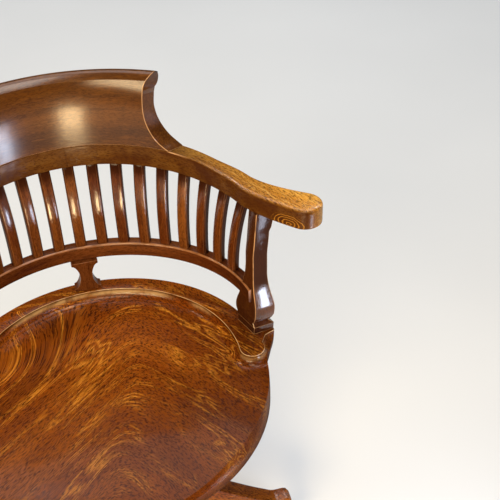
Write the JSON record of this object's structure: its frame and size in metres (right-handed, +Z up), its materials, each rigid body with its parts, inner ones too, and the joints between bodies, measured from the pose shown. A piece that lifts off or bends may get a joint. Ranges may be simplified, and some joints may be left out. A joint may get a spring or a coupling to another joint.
{
  "type": "bankers swivel chair",
  "caption": "Bankers swivel chair in oak with a dished seat, hooped arms on bowed slats, a rolled crest, a spring tilt, a screw for height and a castored base.",
  "frame": {"origin": "on the swivel axis at floor level, under the castors", "axes": "+Z up, front of the seat towards -Y, sitter's left towards +X"},
  "size_m": [0.659, 0.62, 0.8433],
  "materials": {
    "oak": "polished golden brown quarter-sawn oak with ray fleck and worn light edges",
    "dark_oak": "polished dark red-brown oak",
    "black_iron": "old black enamelled cast iron",
    "steel": "worn bare steel, lightly oiled",
    "castor_brass": "aged brass",
    "castor_wood": "dark turned hardwood"
  },
  "bodies": {
    "base": {"hub": "dark_oak", "hub_collar": "black_iron", "leg_strap": "black_iron", "leg_right": "oak", "leg_back": "oak", "leg_left": "oak", "leg_front": "oak", "castor_socket_right": "castor_brass", "castor_socket_back": "castor_brass", "castor_socket_left": "castor_brass", "castor_socket_front": "castor_brass"},
    "handwheel": {"height_handwheel": "black_iron"},
    "spindle": {"screw_spindle": "steel"},
    "yoke": {"swivel_yoke": "black_iron", "tension_spring": "steel"},
    "seat_assembly": {"seat": "oak", "arm_right": "oak", "arm_left": "oak", "arm_post_right": "dark_oak", "arm_post_left": "dark_oak", "crest_rail": "oak", "lower_back_rail": "dark_oak", "back_brace": "dark_oak", "slat_01": "dark_oak", "slat_02": "dark_oak", "slat_03": "dark_oak", "slat_04": "dark_oak", "slat_05": "dark_oak", "slat_06": "dark_oak", "slat_07": "dark_oak", "slat_08": "dark_oak", "slat_09": "dark_oak", "slat_10": "dark_oak", "slat_11": "dark_oak", "slat_12": "dark_oak", "slat_13": "dark_oak", "slat_14": "dark_oak", "slat_15": "dark_oak", "slat_16": "dark_oak", "slat_17": "dark_oak", "seat_irons": "black_iron", "tilt_pin": "steel", "rod_pivot_pin": "steel"},
    "rod": {"tension_rod": "steel", "spring_washer": "steel"},
    "knob": {"tension_knob": "black_iron"},
    "castor_right": {"castor_fork_right": "castor_brass", "castor_axle_right": "steel"},
    "wheel_right": {"castor_wheel_right": "castor_wood"},
    "castor_back": {"castor_fork_back": "castor_brass", "castor_axle_back": "steel"},
    "wheel_back": {"castor_wheel_back": "castor_wood"},
    "castor_left": {"castor_fork_left": "castor_brass", "castor_axle_left": "steel"},
    "wheel_left": {"castor_wheel_left": "castor_wood"},
    "castor_front": {"castor_fork_front": "castor_brass", "castor_axle_front": "steel"},
    "wheel_front": {"castor_wheel_front": "castor_wood"}
  },
  "joints": [
    {"name": "height_wheel_turn", "type": "hinge", "parent": "base", "child": "handwheel", "pos_m": [0, 0, 0.2784], "axis": [0, 0, 1], "range_deg": [0, 3600]},
    {"name": "spindle_rise", "type": "slide", "parent": "base", "child": "spindle", "axis": [0, 0, 1], "range_m": [0, 0.06]},
    {"name": "seat_swivel", "type": "hinge", "parent": "spindle", "child": "yoke", "pos_m": [0, 0, 0.36], "axis": [0, 0, 1], "continuous": true},
    {"name": "seat_tilt", "type": "hinge", "parent": "yoke", "child": "seat_assembly", "pos_m": [0, 0, 0.388], "axis": [-1, 0, 0], "range_deg": [0, 12], "stiffness_Nm_per_rad": 120, "springref_deg": -9.74, "deforming": ["tension_spring"]},
    {"name": "rod_swing", "type": "hinge", "parent": "seat_assembly", "child": "rod", "pos_m": [0, -0.092, 0.398], "axis": [-1, 0, 0], "range_deg": [-12, 0]},
    {"name": "tension_knob_turn", "type": "hinge", "parent": "rod", "child": "knob", "pos_m": [0, -0.092, 0.306], "axis": [0, 0, 1], "range_deg": [0, 1080]},
    {"name": "castor_swivel_right", "type": "hinge", "parent": "base", "child": "castor_right", "pos_m": [0.268, 0, 0.055], "axis": [0, 0, 1], "continuous": true},
    {"name": "castor_roll_right", "type": "hinge", "parent": "castor_right", "child": "wheel_right", "pos_m": [0.288, 0, 0.022], "axis": [0, 1, 0], "continuous": true},
    {"name": "castor_swivel_back", "type": "hinge", "parent": "base", "child": "castor_back", "pos_m": [0, 0.268, 0.055], "axis": [0, 0, 1], "continuous": true},
    {"name": "castor_roll_back", "type": "hinge", "parent": "castor_back", "child": "wheel_back", "pos_m": [0, 0.288, 0.022], "axis": [1, 0, 0], "continuous": true},
    {"name": "castor_swivel_left", "type": "hinge", "parent": "base", "child": "castor_left", "pos_m": [-0.268, 0, 0.055], "axis": [0, 0, 1], "continuous": true},
    {"name": "castor_roll_left", "type": "hinge", "parent": "castor_left", "child": "wheel_left", "pos_m": [-0.288, 0, 0.022], "axis": [0, 1, 0], "continuous": true},
    {"name": "castor_swivel_front", "type": "hinge", "parent": "base", "child": "castor_front", "pos_m": [0, -0.268, 0.055], "axis": [0, 0, 1], "continuous": true},
    {"name": "castor_roll_front", "type": "hinge", "parent": "castor_front", "child": "wheel_front", "pos_m": [0, -0.288, 0.022], "axis": [1, 0, 0], "continuous": true}
  ],
  "couplings": [
    {"joint": "height_wheel_turn", "follows": "spindle_rise", "rad_per_m": 1047.2},
    {"joint": "rod_swing", "follows": "seat_tilt", "ratio": -1}
  ]
}
